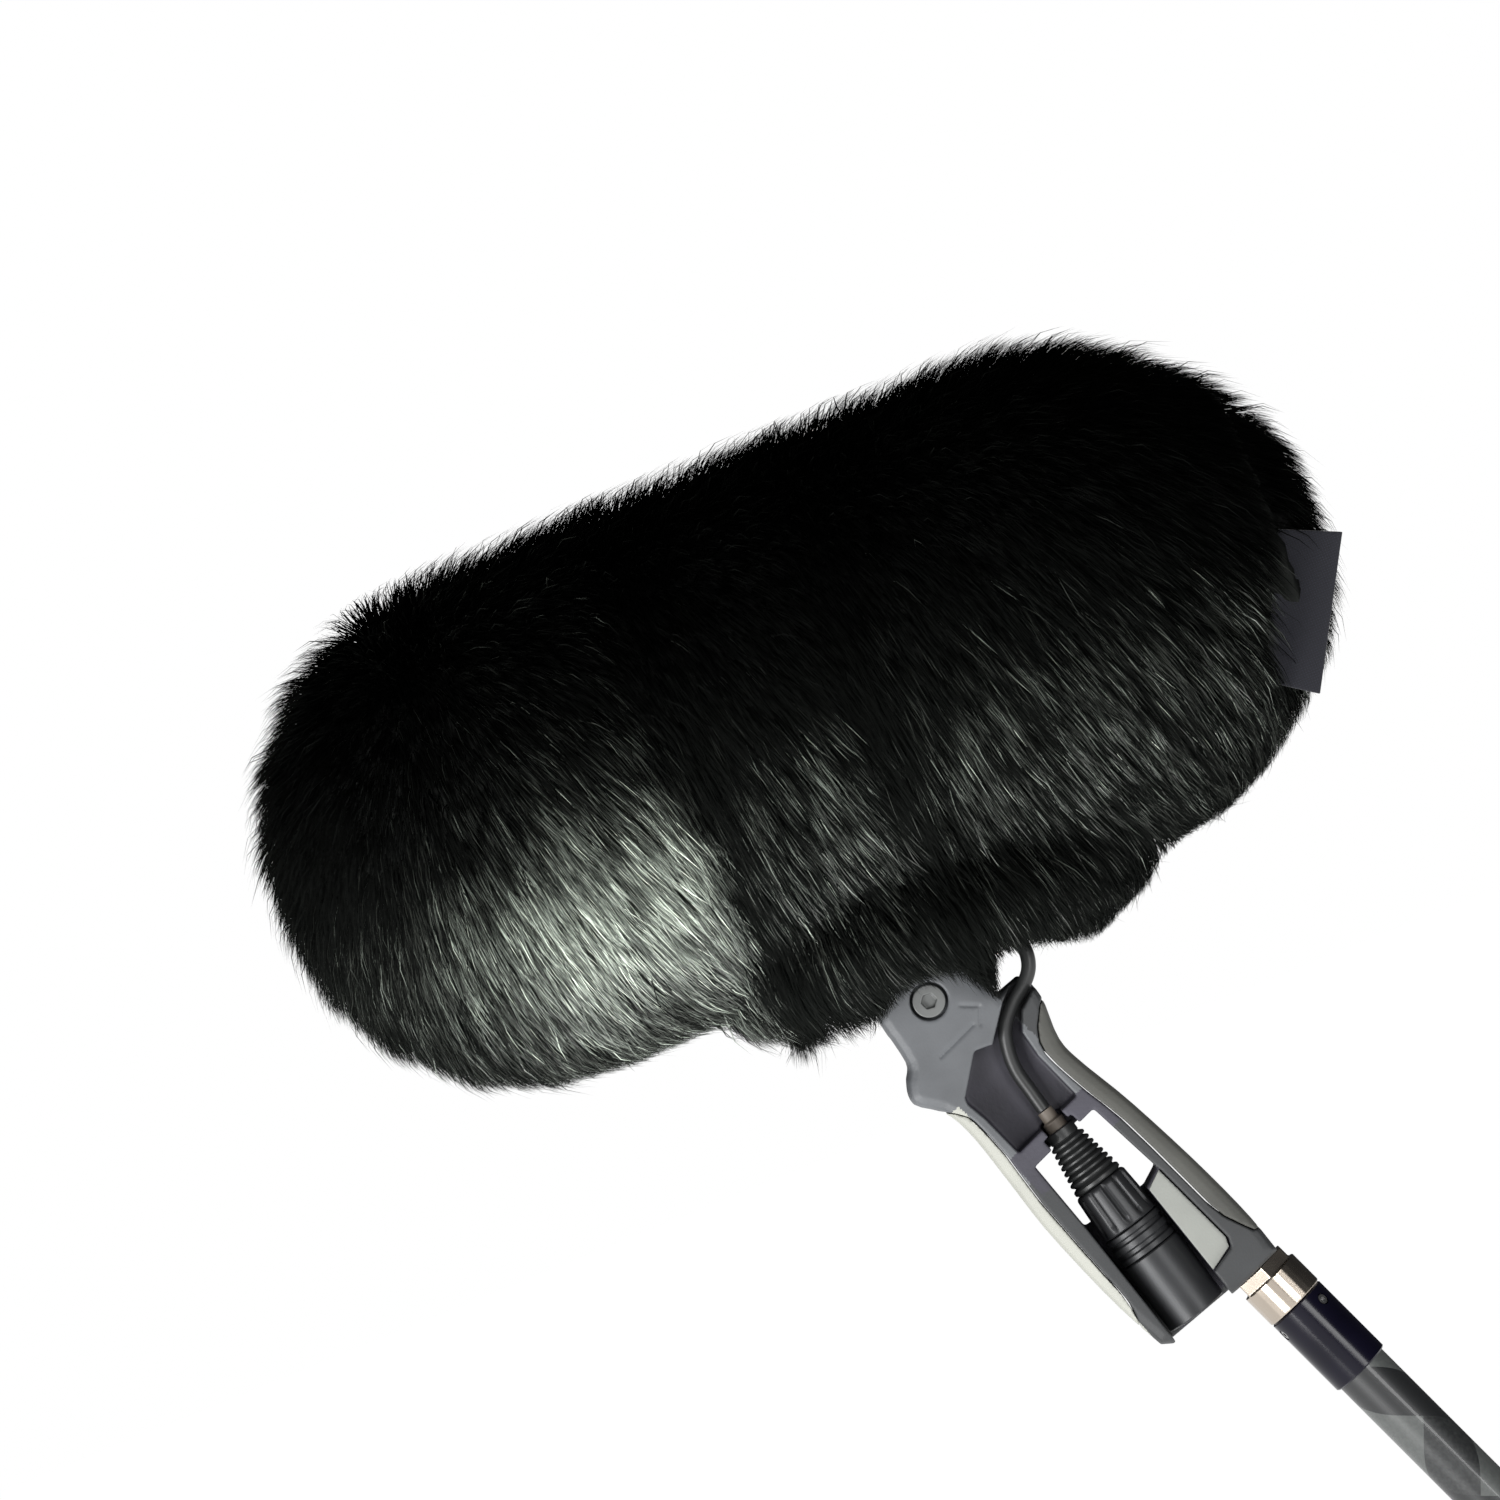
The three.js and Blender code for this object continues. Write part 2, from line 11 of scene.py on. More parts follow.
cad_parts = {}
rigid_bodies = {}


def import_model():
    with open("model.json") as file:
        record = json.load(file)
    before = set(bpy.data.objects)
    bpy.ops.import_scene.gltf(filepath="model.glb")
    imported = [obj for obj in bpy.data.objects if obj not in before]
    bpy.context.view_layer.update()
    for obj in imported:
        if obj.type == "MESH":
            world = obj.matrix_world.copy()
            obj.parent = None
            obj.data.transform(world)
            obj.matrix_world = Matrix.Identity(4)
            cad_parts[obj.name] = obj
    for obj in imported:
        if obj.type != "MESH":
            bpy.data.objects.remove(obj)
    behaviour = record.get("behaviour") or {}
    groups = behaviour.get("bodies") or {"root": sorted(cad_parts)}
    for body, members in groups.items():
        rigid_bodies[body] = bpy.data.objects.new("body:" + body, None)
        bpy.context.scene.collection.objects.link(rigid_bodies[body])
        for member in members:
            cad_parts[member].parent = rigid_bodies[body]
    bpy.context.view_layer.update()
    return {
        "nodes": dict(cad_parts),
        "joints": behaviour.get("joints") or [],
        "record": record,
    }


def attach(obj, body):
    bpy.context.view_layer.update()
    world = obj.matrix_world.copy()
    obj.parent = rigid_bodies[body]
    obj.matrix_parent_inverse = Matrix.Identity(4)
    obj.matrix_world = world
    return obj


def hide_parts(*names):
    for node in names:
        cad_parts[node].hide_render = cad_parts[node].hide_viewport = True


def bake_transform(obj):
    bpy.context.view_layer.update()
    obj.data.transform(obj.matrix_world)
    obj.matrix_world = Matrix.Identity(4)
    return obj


MM = 0.001
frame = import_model()
nodes = frame["nodes"]
joints = {joint["name"]: joint for joint in frame["joints"]}

# ---- places, from the frame ----
PIVOT = Vector(joints["windscreen_tilt"]["pos_m"])
POLE_UP = Vector(joints["handle_swivel"]["axis"])
LEAN = math.atan2(-POLE_UP.x, POLE_UP.z)
HANDLE_FRAME = Matrix.Translation(PIVOT) @ Matrix.Rotation(-LEAN, 4, "Y")
PLUG_LEAN = math.radians(7.87)
PLUG_TOP = (0.9, -4.0, -48.0)          # where the lead enters the boot, in the handle's frame, mm
PLUG_FRAME = (HANDLE_FRAME @ Matrix.Translation(Vector(PLUG_TOP) * MM)
              @ Matrix.Rotation(PLUG_LEAN, 4, "Y"))
POLE_FRAME = HANDLE_FRAME @ Matrix.Translation(Vector((13.0, 0, 0)) * MM)
AXIS_HEIGHT = 92.0                     # basket axis above the pivot, mm
LEAD_RADIUS = 2.1
FUR_PROFILE = [(-160, 0), (-157.5, 22), (-148, 42), (-131, 60), (-112, 69), (-90, 72), (78, 72),
               (98, 68), (115, 60), (131, 48), (143, 35), (150, 20), (152, 0)]
SKIRT_PROFILE = [(-2, 26), (1, 34), (8, 50), (16, 66), (27, 76), (50, 70)]
SKIRT_CENTRE = 8.0
SKIRT_NARROWING = 0.72
LABEL_CORNERS = [(141, 87), (157.5, 79.5), (134.5, 39.5), (121.5, 48.5)]
LABEL_FACE = [(143.5, 86), (160, 80), (136, 38), (124.5, 46)]     # the part left clear of pile
LABEL_DEPTH = -29.0                    # the tab's plane, toward the open side of the handle, mm
LOOP_ROUTE = [(30, -7, -6.0), (29.3, -7.6, -10), (26.6, -8, -13.6), (22.5, -8, -15.8),
              (16.8, -7.6, -17.4), (10.5, -7, -20.5), (6.4, -6, -25.5), (3.6, -5, -31.8),
              (2.3, -4.3, -39), (1.3, -4, -45.1)]
SET_SCREW_TURNS = (45, 165, 285)
# Where the handle's finishes change, in its own frame, mm: heights are below the pivot.
FRONT_STRIP = ([-120, -92, -62, -34], [-23, -21.1, -18.7, -15.1])   # heights and how far back
STRIP_TOP = -27
CAVITY_DEEP = (-15, 14)
CAVITY_ACROSS = (-13.6, 13)
CAVITY_HIGH = (-118, -19.5)
BAR_DEEP = (-16, 15)                   # the bar between the recess and the window
BAR_HIGH = (-62, -48)
GRIP_TOP = -57
SHOULDER_FRONT = 14.5
SHOULDER_TOP = -12


def in_handle(u, y, v):
    return HANDLE_FRAME @ (Vector((u, y, v)) * MM)


def in_basket(x, y, z):
    return PIVOT + Vector((x, y, z)) * MM


# ---- camera ----
CAMERA_ROLL = math.radians(22)
VIEW_WIDTH = 0.4275
CAMERA_DISTANCE = 2.6
PIVOT_RIGHT = 0.0507                   # the pivot lies this far right of the picture's middle
PIVOT_BELOW = 0.0712


def make_camera():
    right = Vector((math.cos(CAMERA_ROLL), 0, -math.sin(CAMERA_ROLL)))
    up = Vector((math.sin(CAMERA_ROLL), 0, math.cos(CAMERA_ROLL)))
    back = Vector((0, -1, 0))
    middle = PIVOT - right * PIVOT_RIGHT + up * PIVOT_BELOW
    data = bpy.data.cameras.new("camera")
    data.lens = data.sensor_width * CAMERA_DISTANCE / VIEW_WIDTH
    data.clip_end = 50
    camera = bpy.data.objects.new("camera", data)
    turn = Matrix((right, up, back)).transposed().to_4x4()
    camera.matrix_world = Matrix.Translation(middle + back * CAMERA_DISTANCE) @ turn
    bpy.context.scene.collection.objects.link(camera)
    bpy.context.scene.camera = camera


# ---- materials ----
def shader_of(name):
    made = bpy.data.materials.new(name)
    made.use_nodes = True
    return made, made.node_tree.nodes, made.node_tree.links, made.node_tree.nodes["Principled BSDF"]


def shade(color, factor):
    return [min(1.0, channel * factor) for channel in color] + [1.0]


def noise_at(tree_nodes, links, scale, detail=4.0):
    place = tree_nodes.new("ShaderNodeTexCoord")
    noise = tree_nodes.new("ShaderNodeTexNoise")
    noise.inputs["Scale"].default_value = scale
    noise.inputs["Detail"].default_value = detail
    links.new(place.outputs["Object"], noise.inputs["Vector"])
    return noise


def moulded(name, color, roughness, metallic=0.0, grain=1400.0, depth=0.25, mottle=0.15, specular=0.5):
    """Fine-grained surface: colour and roughness drift slowly, and a fine bump carries the grain."""
    made, tree_nodes, links, shader = shader_of(name)
    broad = noise_at(tree_nodes, links, grain / 22)
    ramp = tree_nodes.new("ShaderNodeValToRGB")
    ramp.color_ramp.elements[0].position = 0.3
    ramp.color_ramp.elements[1].position = 0.7
    ramp.color_ramp.elements[0].color = shade(color, 1 - mottle)
    ramp.color_ramp.elements[1].color = shade(color, 1 + mottle)
    links.new(broad.outputs["Fac"], ramp.inputs["Fac"])
    links.new(ramp.outputs["Color"], shader.inputs["Base Color"])
    spread = tree_nodes.new("ShaderNodeMapRange")
    spread.inputs["To Min"].default_value = max(0.03, roughness - 0.08)
    spread.inputs["To Max"].default_value = min(1.0, roughness + 0.08)
    links.new(broad.outputs["Fac"], spread.inputs["Value"])
    links.new(spread.outputs["Result"], shader.inputs["Roughness"])
    fine = noise_at(tree_nodes, links, grain, 2.0)
    bump = tree_nodes.new("ShaderNodeBump")
    bump.inputs["Strength"].default_value = depth
    bump.inputs["Distance"].default_value = 0.12 * MM
    links.new(fine.outputs["Fac"], bump.inputs["Height"])
    links.new(bump.outputs["Normal"], shader.inputs["Normal"])
    shader.inputs["Metallic"].default_value = metallic
    shader.inputs["Specular IOR Level"].default_value = specular
    return made


def math_node(tree_nodes, links, operation, first, second=None):
    node = tree_nodes.new("ShaderNodeMath")
    node.operation = operation
    for socket, value in zip(node.inputs, (first, second)):
        if value is None:
            continue
        if isinstance(value, (int, float)):
            socket.default_value = value
        else:
            links.new(value, socket)
    return node.outputs[0]


def carbon_material():
    """Tube wound from flat fibre bands that cross each other, under a thin clear coat."""
    made, tree_nodes, links, shader = shader_of("carbon")
    place = tree_nodes.new("ShaderNodeTexCoord")
    turn = tree_nodes.new("ShaderNodeMapping")
    turn.inputs["Rotation"].default_value = (0, LEAN, 0)
    links.new(place.outputs["Object"], turn.inputs["Vector"])
    parts = tree_nodes.new("ShaderNodeSeparateXYZ")
    links.new(turn.outputs["Vector"], parts.inputs["Vector"])
    angle = math_node(tree_nodes, links, "ARCTAN2", parts.outputs["Y"], parts.outputs["X"])
    height = math_node(tree_nodes, links, "MULTIPLY", parts.outputs["Z"], 2 * math.pi / 0.052)
    bands = []
    for hand, share in ((1, 0.62), (-1, 0.56)):
        wound = math_node(tree_nodes, links, "MULTIPLY", angle, hand)
        phase = math_node(tree_nodes, links, "ADD", height, wound)
        wrapped = math_node(tree_nodes, links, "FRACT",
                            math_node(tree_nodes, links, "DIVIDE", phase, 2 * math.pi))
        bands.append(math_node(tree_nodes, links, "GREATER_THAN", wrapped, share))
    layer = math_node(tree_nodes, links, "ADD", bands[0],
                      math_node(tree_nodes, links, "MULTIPLY", bands[1], 0.6))
    fibre = noise_at(tree_nodes, links, 900, 3.0)
    tone = math_node(tree_nodes, links, "ADD", layer,
                     math_node(tree_nodes, links, "MULTIPLY", fibre.outputs["Fac"], 0.5))
    ramp = tree_nodes.new("ShaderNodeValToRGB")
    ramp.color_ramp.elements[0].color = (0.105, 0.112, 0.108, 1)
    ramp.color_ramp.elements[1].color = (0.018, 0.019, 0.02, 1)
    ramp.color_ramp.elements[0].position = 0.12
    ramp.color_ramp.elements[1].position = 0.95
    links.new(tone, ramp.inputs["Fac"])
    links.new(ramp.outputs["Color"], shader.inputs["Base Color"])
    bump = tree_nodes.new("ShaderNodeBump")
    bump.inputs["Strength"].default_value = 0.35
    bump.inputs["Distance"].default_value = 0.1 * MM
    links.new(layer, bump.inputs["Height"])
    links.new(bump.outputs["Normal"], shader.inputs["Normal"])
    shader.inputs["Roughness"].default_value = 0.38
    shader.inputs["Coat Weight"].default_value = 0.3
    return made


def woven_material(name, color):
    """Narrow woven tape: a fine over-and-under bump and a little colour drift."""
    made, tree_nodes, links, shader = shader_of(name)
    place = tree_nodes.new("ShaderNodeTexCoord")
    waves = []
    for direction in ("X", "Z"):
        wave = tree_nodes.new("ShaderNodeTexWave")
        wave.bands_direction = direction
        wave.inputs["Scale"].default_value = 420
        wave.inputs["Distortion"].default_value = 0.6
        links.new(place.outputs["Object"], wave.inputs["Vector"])
        waves.append(wave.outputs["Fac"])
    weave = math_node(tree_nodes, links, "MULTIPLY", waves[0], waves[1])
    ramp = tree_nodes.new("ShaderNodeValToRGB")
    ramp.color_ramp.elements[0].color = shade(color, 0.55)
    ramp.color_ramp.elements[1].color = shade(color, 1.5)
    links.new(weave, ramp.inputs["Fac"])
    links.new(ramp.outputs["Color"], shader.inputs["Base Color"])
    bump = tree_nodes.new("ShaderNodeBump")
    bump.inputs["Strength"].default_value = 0.5
    bump.inputs["Distance"].default_value = 0.15 * MM
    links.new(weave, bump.inputs["Height"])
    links.new(bump.outputs["Normal"], shader.inputs["Normal"])
    shader.inputs["Roughness"].default_value = 0.85
    shader.inputs["Sheen Weight"].default_value = 0.3
    return made


# Fibre colours from near black to grey-green: the paler grey-green fibres are partly painted sheen, the
# light black fibre catches, and partly the pile's own paler fibres.
FIBRE_TONES = [(0.002, 0.0022, 0.002), (0.010, 0.011, 0.0095), (0.036, 0.041, 0.035),
               (0.10, 0.113, 0.095), (0.20, 0.224, 0.19)]


def fibre_materials():
    """Strands of one pile, from near black to a few grey-green ones; the grey-green ones are partly
    painted sheen.
    """
    made = []
    for i, tone in enumerate(FIBRE_TONES):
        fibre, _, _, shader = shader_of(f"fibre_{i + 1}")
        shader.inputs["Base Color"].default_value = (*tone, 1)
        shader.inputs["Roughness"].default_value = 0.5
        shader.inputs["Specular IOR Level"].default_value = 0.05 * i
        made.append(fibre)
    return made


FINISH = {
    "fur": moulded("undercoat", (0.004, 0.0044, 0.004), 0.95, grain=700, depth=0.8, mottle=0.4,
                   specular=0.05),
    "label": woven_material("label", (0.007, 0.0075, 0.015)),
    "basket": moulded("basket", (0.03, 0.03, 0.032), 0.6),
    "nylon": moulded("nylon", (0.022, 0.022, 0.024), 0.5),
    "black_metal": moulded("black_metal", (0.03, 0.031, 0.033), 0.4, metallic=0.35, depth=0.12),
    "collar": moulded("collar", (0.004, 0.0035, 0.010), 0.16, depth=0.02, specular=0.3),
    "nickel": moulded("nickel", (0.52, 0.455, 0.385), 0.24, metallic=1.0, depth=0.03, mottle=0.05),
    "steel": moulded("steel", (0.42, 0.42, 0.42), 0.34, metallic=1.0, depth=0.08),
    "head_grey": moulded("head_grey", (0.112, 0.118, 0.126), 0.48, depth=0.45),
    "recess": moulded("recess", (0.05, 0.048, 0.062), 0.6, grain=900, depth=0.9, mottle=0.35),
    "pad_light": moulded("pad_light", (0.44, 0.445, 0.40), 0.62, depth=0.35, mottle=0.06),
    "pad_dark": moulded("pad_dark", (0.085, 0.085, 0.076), 0.66, depth=0.5),
    "shell_dark": moulded("shell_dark", (0.038, 0.040, 0.042), 0.55, depth=0.45),
    "panel": moulded("panel", (0.31, 0.32, 0.295), 0.6, depth=0.3, mottle=0.08),
    "bolt_grey": moulded("bolt_grey", (0.15, 0.155, 0.152), 0.5, metallic=0.4, depth=0.2),
    "dark_rubber": moulded("dark_rubber", (0.022, 0.023, 0.023), 0.42, depth=0.25),
    "boot_neck": moulded("boot_neck", (0.16, 0.135, 0.11), 0.55),
    "carbon": carbon_material(),
}
SLOT_OF = {part["node"]: part["material_slot"] for part in frame["record"]["subparts"]}
BODY_OF = {node: body for body, members in frame["record"]["behaviour"]["bodies"].items()
           for node in members}


# ---- mesh helpers ----
def dress(piece, materials):
    piece.data.materials.clear()
    for material in materials:
        piece.data.materials.append(material)


def smooth_by_angle(mesh, degrees=35):
    mesh.shade_smooth()
    mesh.set_sharp_from_angle(angle=math.radians(degrees))


def place_piece(piece, *replaced, materials=None):
    """The piece stands for these nodes: it rides on their body and takes their finish."""
    node = replaced[0]
    slot = SLOT_OF[node]
    dress(piece, materials or [FINISH[slot]])
    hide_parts(*replaced)
    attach(piece, BODY_OF[node])
    return piece


def new_piece(name, mesh):
    piece = bpy.data.objects.new(name, mesh)
    bpy.context.scene.collection.objects.link(piece)
    return piece


def apply_modifiers(piece):
    bpy.context.view_layer.update()
    depsgraph = bpy.context.evaluated_depsgraph_get()
    mesh = bpy.data.meshes.new_from_object(piece.evaluated_get(depsgraph))
    piece.modifiers.clear()
    piece.data = mesh


def softened(node, voxel, rounds=6, keep=1.0):
    """A finer copy of a node with its edges eased, as a moulded or turned piece has."""
    piece = new_piece(f"{node}_fine", nodes[node].data.copy())
    remesh = piece.modifiers.new("remesh", "REMESH")
    remesh.mode = "VOXEL"
    remesh.voxel_size = voxel * MM
    ease = piece.modifiers.new("ease", "SMOOTH")
    ease.factor = 0.5
    ease.iterations = rounds
    if keep < 1:
        thin = piece.modifiers.new("thin", "DECIMATE")
        thin.ratio = keep
    apply_modifiers(piece)
    smooth_by_angle(piece.data, 50)
    return piece


def revolved(name, profile, frame_matrix, sides=96, dent=None):
    """A closed profile of (radius, height) in mm, turned about the frame's z axis."""
    mesh = bpy.data.meshes.new(name)
    made = bmesh.new()
    rings = []
    for radius, height in profile:
        if radius < 1e-6:
            rings.append([made.verts.new((0, 0, height * MM))] * sides)
            continue
        ring = []
        for i in range(sides):
            turn = 2 * math.pi * i / sides
            out = (radius - (dent(turn, height) if dent else 0)) * MM
            ring.append(made.verts.new((out * math.cos(turn), out * math.sin(turn), height * MM)))
        rings.append(ring)
    closed_profile = profile[0][0] > 1e-6
    pairs = list(zip(rings, rings[1:])) + ([(rings[-1], rings[0])] if closed_profile else [])
    for low, high in pairs:
        for i in range(sides):
            j = (i + 1) % sides
            corners = list(dict.fromkeys((low[i], low[j], high[j], high[i])))
            if len(corners) > 2:
                made.faces.new(corners)
    bmesh.ops.recalc_face_normals(made, faces=made.faces)
    made.transform(frame_matrix)
    made.to_mesh(mesh)
    made.free()
    smooth_by_angle(mesh)
    return new_piece(name, mesh)


def smooth_route(points, per_span=8):
    """Catmull-Rom line through the points."""
    points = [Vector(p) for p in points]
    padded = [2 * points[0] - points[1], *points, 2 * points[-1] - points[-2]]
    line = []
    for a, b, c, d in zip(padded, padded[1:], padded[2:], padded[3:]):
        for i in range(per_span):
            t = i / per_span
            line.append(0.5 * (2 * b + (c - a) * t + (2 * a - 5 * b + 4 * c - d) * t ** 2
                               + (3 * b - a - 3 * c + d) * t ** 3))
    return line + [points[-1]]


def tube(name, line, radius, sides=20):
    mesh = bpy.data.meshes.new(name)
    made = bmesh.new()
    side = Vector((0, 1, 0))
    rings = []
    for i, point in enumerate(line):
        ahead = (line[min(i + 1, len(line) - 1)] - line[max(i - 1, 0)]).normalized()
        side = (side - ahead * side.dot(ahead)).normalized()
        up = ahead.cross(side)
        rings.append([made.verts.new(point + radius * (math.cos(a) * side + math.sin(a) * up))
                      for a in (2 * math.pi * k / sides for k in range(sides))])
    for low, high in zip(rings, rings[1:]):
        for k in range(sides):
            made.faces.new((low[k], low[(k + 1) % sides], high[(k + 1) % sides], high[k]))
    made.faces.new(rings[0])
    made.faces.new(rings[-1])
    bmesh.ops.recalc_face_normals(made, faces=made.faces)
    made.to_mesh(mesh)
    made.free()
    smooth_by_angle(mesh, 60)
    return new_piece(name, mesh)


# ---- fur ----
STRANDS = 195000
FUR_PIECES = 5
ROOT_DEPTH = 9.0                       # roots lie this far under the pile's surface, mm
STRAND_LENGTH = 20.0
PROUD_FREE = 2.5                       # strands rise freely to this height over the surface, mm
PROUD_RANGE = 4.0                      # and are pressed into this much more above it, mm
CLUMP_SIZE = 13
SIDE_LIMIT = 78.8                      # the pile is brushed in beyond this half width, mm
FLOW_REARWARD = [(-160, -0.18), (-125, 0.08), (-60, 0.42), (-40, 0.12), (0, 0.34), (16, 0.12),
                 (60, 0.34), (110, 0.3), (150, 0.5)]
# Painted shade on the pile, in tone steps: darker low down and high up, where the top is partly the pile's
# own black; darker at the nose and rearward.
SHADE_PAINTED_BY_HEIGHT = ([18, 50, 76, 96, 120], [1.2, 0.1, 0, 1.3, 2.2])
SHADE_PAINTED_AT_ENDS = ([-145, -92, -50, -30], [1.7, 0, 0, 1.2])
PAINTED_SHEEN_PATCH = (-72, 42, 60, 28)         # painted sheen on the pile: middle and spread along, then in height, mm
SHADED_PARTINGS = [(-38, 6), (13, 8)]         # hollows in the pile, darkened as painted shade: place and half-width, mm
LOWEST_FRINGE = [(-60, -30), (-30, -8), (-17, 0), (-5, 6), (6, 4), (14, -2), (19, -6), (22, 3),
                 (25, 6), (33, 5), (50, 0), (62, -6), (90, -40)]
STATIONS = np.array([0.0, 0.38, 0.72, 1.0])    # shares of a strand's length
WIDTHS = np.array([0.34, 0.32, 0.20])          # half width at each station but the tip, mm
STRAND_WIDTHS = (0.4, 0.72)                    # each strand takes a share of it in this range
STRAY_SHARE = 0.06
CLUMP_PULL = 0.42                              # how far a tip moves toward its clump's tip
FRINGE_RAGGED = (-3.0, 2.0)                    # how unevenly the lower edge is cut, mm
LABEL_SIDE = (-62, -8)                         # the part of the pile, across, in front of the label, mm
CROSSING_SHARE = 0.03                          # strands left lying across the label
BACKING_DEPTH = ROOT_DEPTH - 3.0
BACKING_DEPTH_AT_LABEL = ROOT_DEPTH + 1.0
TONE_MIDDLE = 1.5                              # in steps of FIBRE_TONES
TONE_SPREAD = 0.8
CLUMP_TONE_SPREAD = 0.9
# tone steps of painted shade at the partings
PARTING_SHADE_STEPS = 1.7
# tone steps the painted sheen lifts the pile at its middle
PAINTED_SHEEN_STEPS = 0.9


def basket_space(points):
    return (points - np.array(PIVOT)) / MM


def on_outside(points):
    """True where a point of the cover lies on its furry outer side, and not in the handle's pocket."""
    x, y, z = points.T
    capsule = np.interp(x, *np.array(FUR_PROFILE, float).T)
    heights, radii = np.array(SKIRT_PROFILE, float).T
    skirt = np.interp(z, heights, radii)
    from_axis = np.hypot(y, z - AXIS_HEIGHT)
    from_stalk = np.hypot(x - SKIRT_CENTRE, y / SKIRT_NARROWING)
    on_capsule = (from_axis > capsule - 3.5) & (from_axis > 40) | (x < -141) | (x > 141)
    on_skirt = (from_stalk > skirt - 4) & (z < 45)
    return on_capsule | on_skirt


def lowest_fringe(x):
    """How low the pile may hang over the handle, along the windscreen."""
    return np.interp(x, *np.array(LOWEST_FRINGE, float).T)


def over_label(points, margin):
    """True for points in front of the label's open face."""
    x, y, z = basket_space(points).T
    corners = np.array(LABEL_FACE, float)
    middle = corners.mean(0)
    nearest, furthest = LABEL_SIDE
    inside = (y > nearest) & (y < furthest)
    for start, end in zip(corners, np.roll(corners, -1, 0)):
        edge = end - start
        out = np.array([edge[1], -edge[0]]) / np.hypot(*edge)
        out = out if out @ (middle - start) < 0 else -out
        inside &= (x - start[0]) * out[0] + (z - start[1]) * out[1] < margin
    return inside


def bare(spots):
    """Spots without pile: the cover's edge above the handle, and the label's place."""
    x, _, z = basket_space(spots).T
    return (z < lowest_fringe(x) + 1.0) | over_label(spots, 0.5)


def undercoat():
    """The cover's backing and dense underwool, a little inside the pile's surface."""
    piece = softened("fur_cover", 2.6, rounds=8)
    mesh = piece.data
    count = len(mesh.vertices)
    places = np.empty(count * 3)
    normals = np.empty(count * 3)
    mesh.vertices.foreach_get("co", places)
    mesh.vertex_normals.foreach_get("vector", normals)
    places = places.reshape(-1, 3)
    normals = normals.reshape(-1, 3)
    outside = on_outside(basket_space(places))
    mesh.calc_loop_triangles()
    corners = np.empty(len(mesh.loop_triangles) * 3, int)
    mesh.loop_triangles.foreach_get("vertices", corners)
    corners = corners.reshape(-1, 3)
    rng = np.random.default_rng(3)
    lumps = rng.uniform(0.75, 1.1, count)[:, None]
    depth = np.where(over_label(places, 3.0), BACKING_DEPTH_AT_LABEL, BACKING_DEPTH)
    sunk = places - normals * (outside * depth)[:, None] * lumps * MM
    local = basket_space(sunk)
    rim = lowest_fringe(local[:, 0]) + 2.5
    raised = outside & (local[:, 2] < rim) & (np.abs(local[:, 0] - SKIRT_CENTRE) < 45)
    sunk[raised, 2] += (rim - local[:, 2])[raised] * MM
    mesh.vertices.foreach_set("co", sunk.ravel())
    mesh.update()
    return piece, places, normals, corners[outside[corners].all(1)]


def scattered(rng, count, places, normals, corners):
    """Random points on the outer skin, with the skin's smoothed normals."""
    a, b, c = (places[corners[:, k]] for k in range(3))
    area = np.linalg.norm(np.cross(b - a, c - a), axis=1)
    picked = rng.choice(len(corners), count, p=area / area.sum())
    weights = rng.dirichlet((1, 1, 1), count)
    spots = sum(places[corners[picked, k]] * weights[:, k:k + 1] for k in range(3))
    facing = sum(normals[corners[picked, k]] * weights[:, k:k + 1] for k in range(3))
    return spots, facing / np.linalg.norm(facing, axis=1)[:, None]


def strand_lines(rng, spots, facing, length, stray):
    """Four points along each strand: out of the skin, then lying over along the combed flow."""
    rearward = np.interp(basket_space(spots)[:, 0], *np.array(FLOW_REARWARD, float).T)
    flow = np.stack([rearward, np.zeros(len(spots)), -np.sqrt(1 - rearward ** 2)], 1)
    against = (flow * facing).sum(1)
    flattened = np.where(against < 0, 1.0, 0.85)
    along = flow - facing * (against * flattened)[:, None]
    along += rng.normal(0, 0.09, along.shape)
    along /= np.linalg.norm(along, axis=1)[:, None]
    outward = facing + rng.normal(0, 0.06 + 0.14 * stray[:, None], facing.shape)
    t = STATIONS[None, :, None]
    reach = length[:, None, None] * MM
    rise = 0.86 * t - (0.27 - 0.12 * stray[:, None, None]) * t ** 2
    drift = 0.30 * t + 0.42 * t ** 2
    root = spots - facing * ROOT_DEPTH * MM
    return root[:, None, :] + reach * (outward[:, None, :] * rise + along[:, None, :] * drift)


def clumped(lines, centres, centre_lines, stray):
    """Strands lean together toward their clump's tip, as pile does."""
    tree = KDTree(len(centres))
    for i, centre in enumerate(centres):
        tree.insert(centre, i)
    tree.balance()
    owner = np.array([tree.find(spot)[1] for spot in lines[:, 0]])
    pull = (CLUMP_PULL * STATIONS ** 1.4)[None, :, None] * (1 - 0.8 * stray[:, None, None])
    return lines + (centre_lines[owner] - lines) * pull, owner


def pressed(lines, spots, facing):
    """No strand stands more than a few millimetres proud of the pile's surface."""
    proud = ((lines - spots[:, None]) * facing[:, None]).sum(2) / MM
    over = np.maximum(proud - PROUD_FREE, 0)
    kept = PROUD_RANGE * (1 - np.exp(-over / PROUD_RANGE))
    return lines - facing[:, None] * ((over - kept) * MM)[..., None]


def trimmed(rng, lines):
    """Strands over the handle are cut along the cover's lower edge."""
    heights = (lines[..., 2] - PIVOT.z) / MM
    tip_x = (lines[:, 3, 0] - PIVOT.x) / MM
    lowest = lowest_fringe(tip_x) + rng.uniform(*FRINGE_RAGGED, len(lines))
    drop = heights[:, 0] - heights[:, 3]
    cut = heights[:, 3] < lowest
    share = np.where(cut, np.clip((heights[:, 0] - lowest) / np.maximum(drop, 0.1), 0.2, 1), 1.0)
    return lines[:, :1] + (lines - lines[:, :1]) * share[:, None, None]


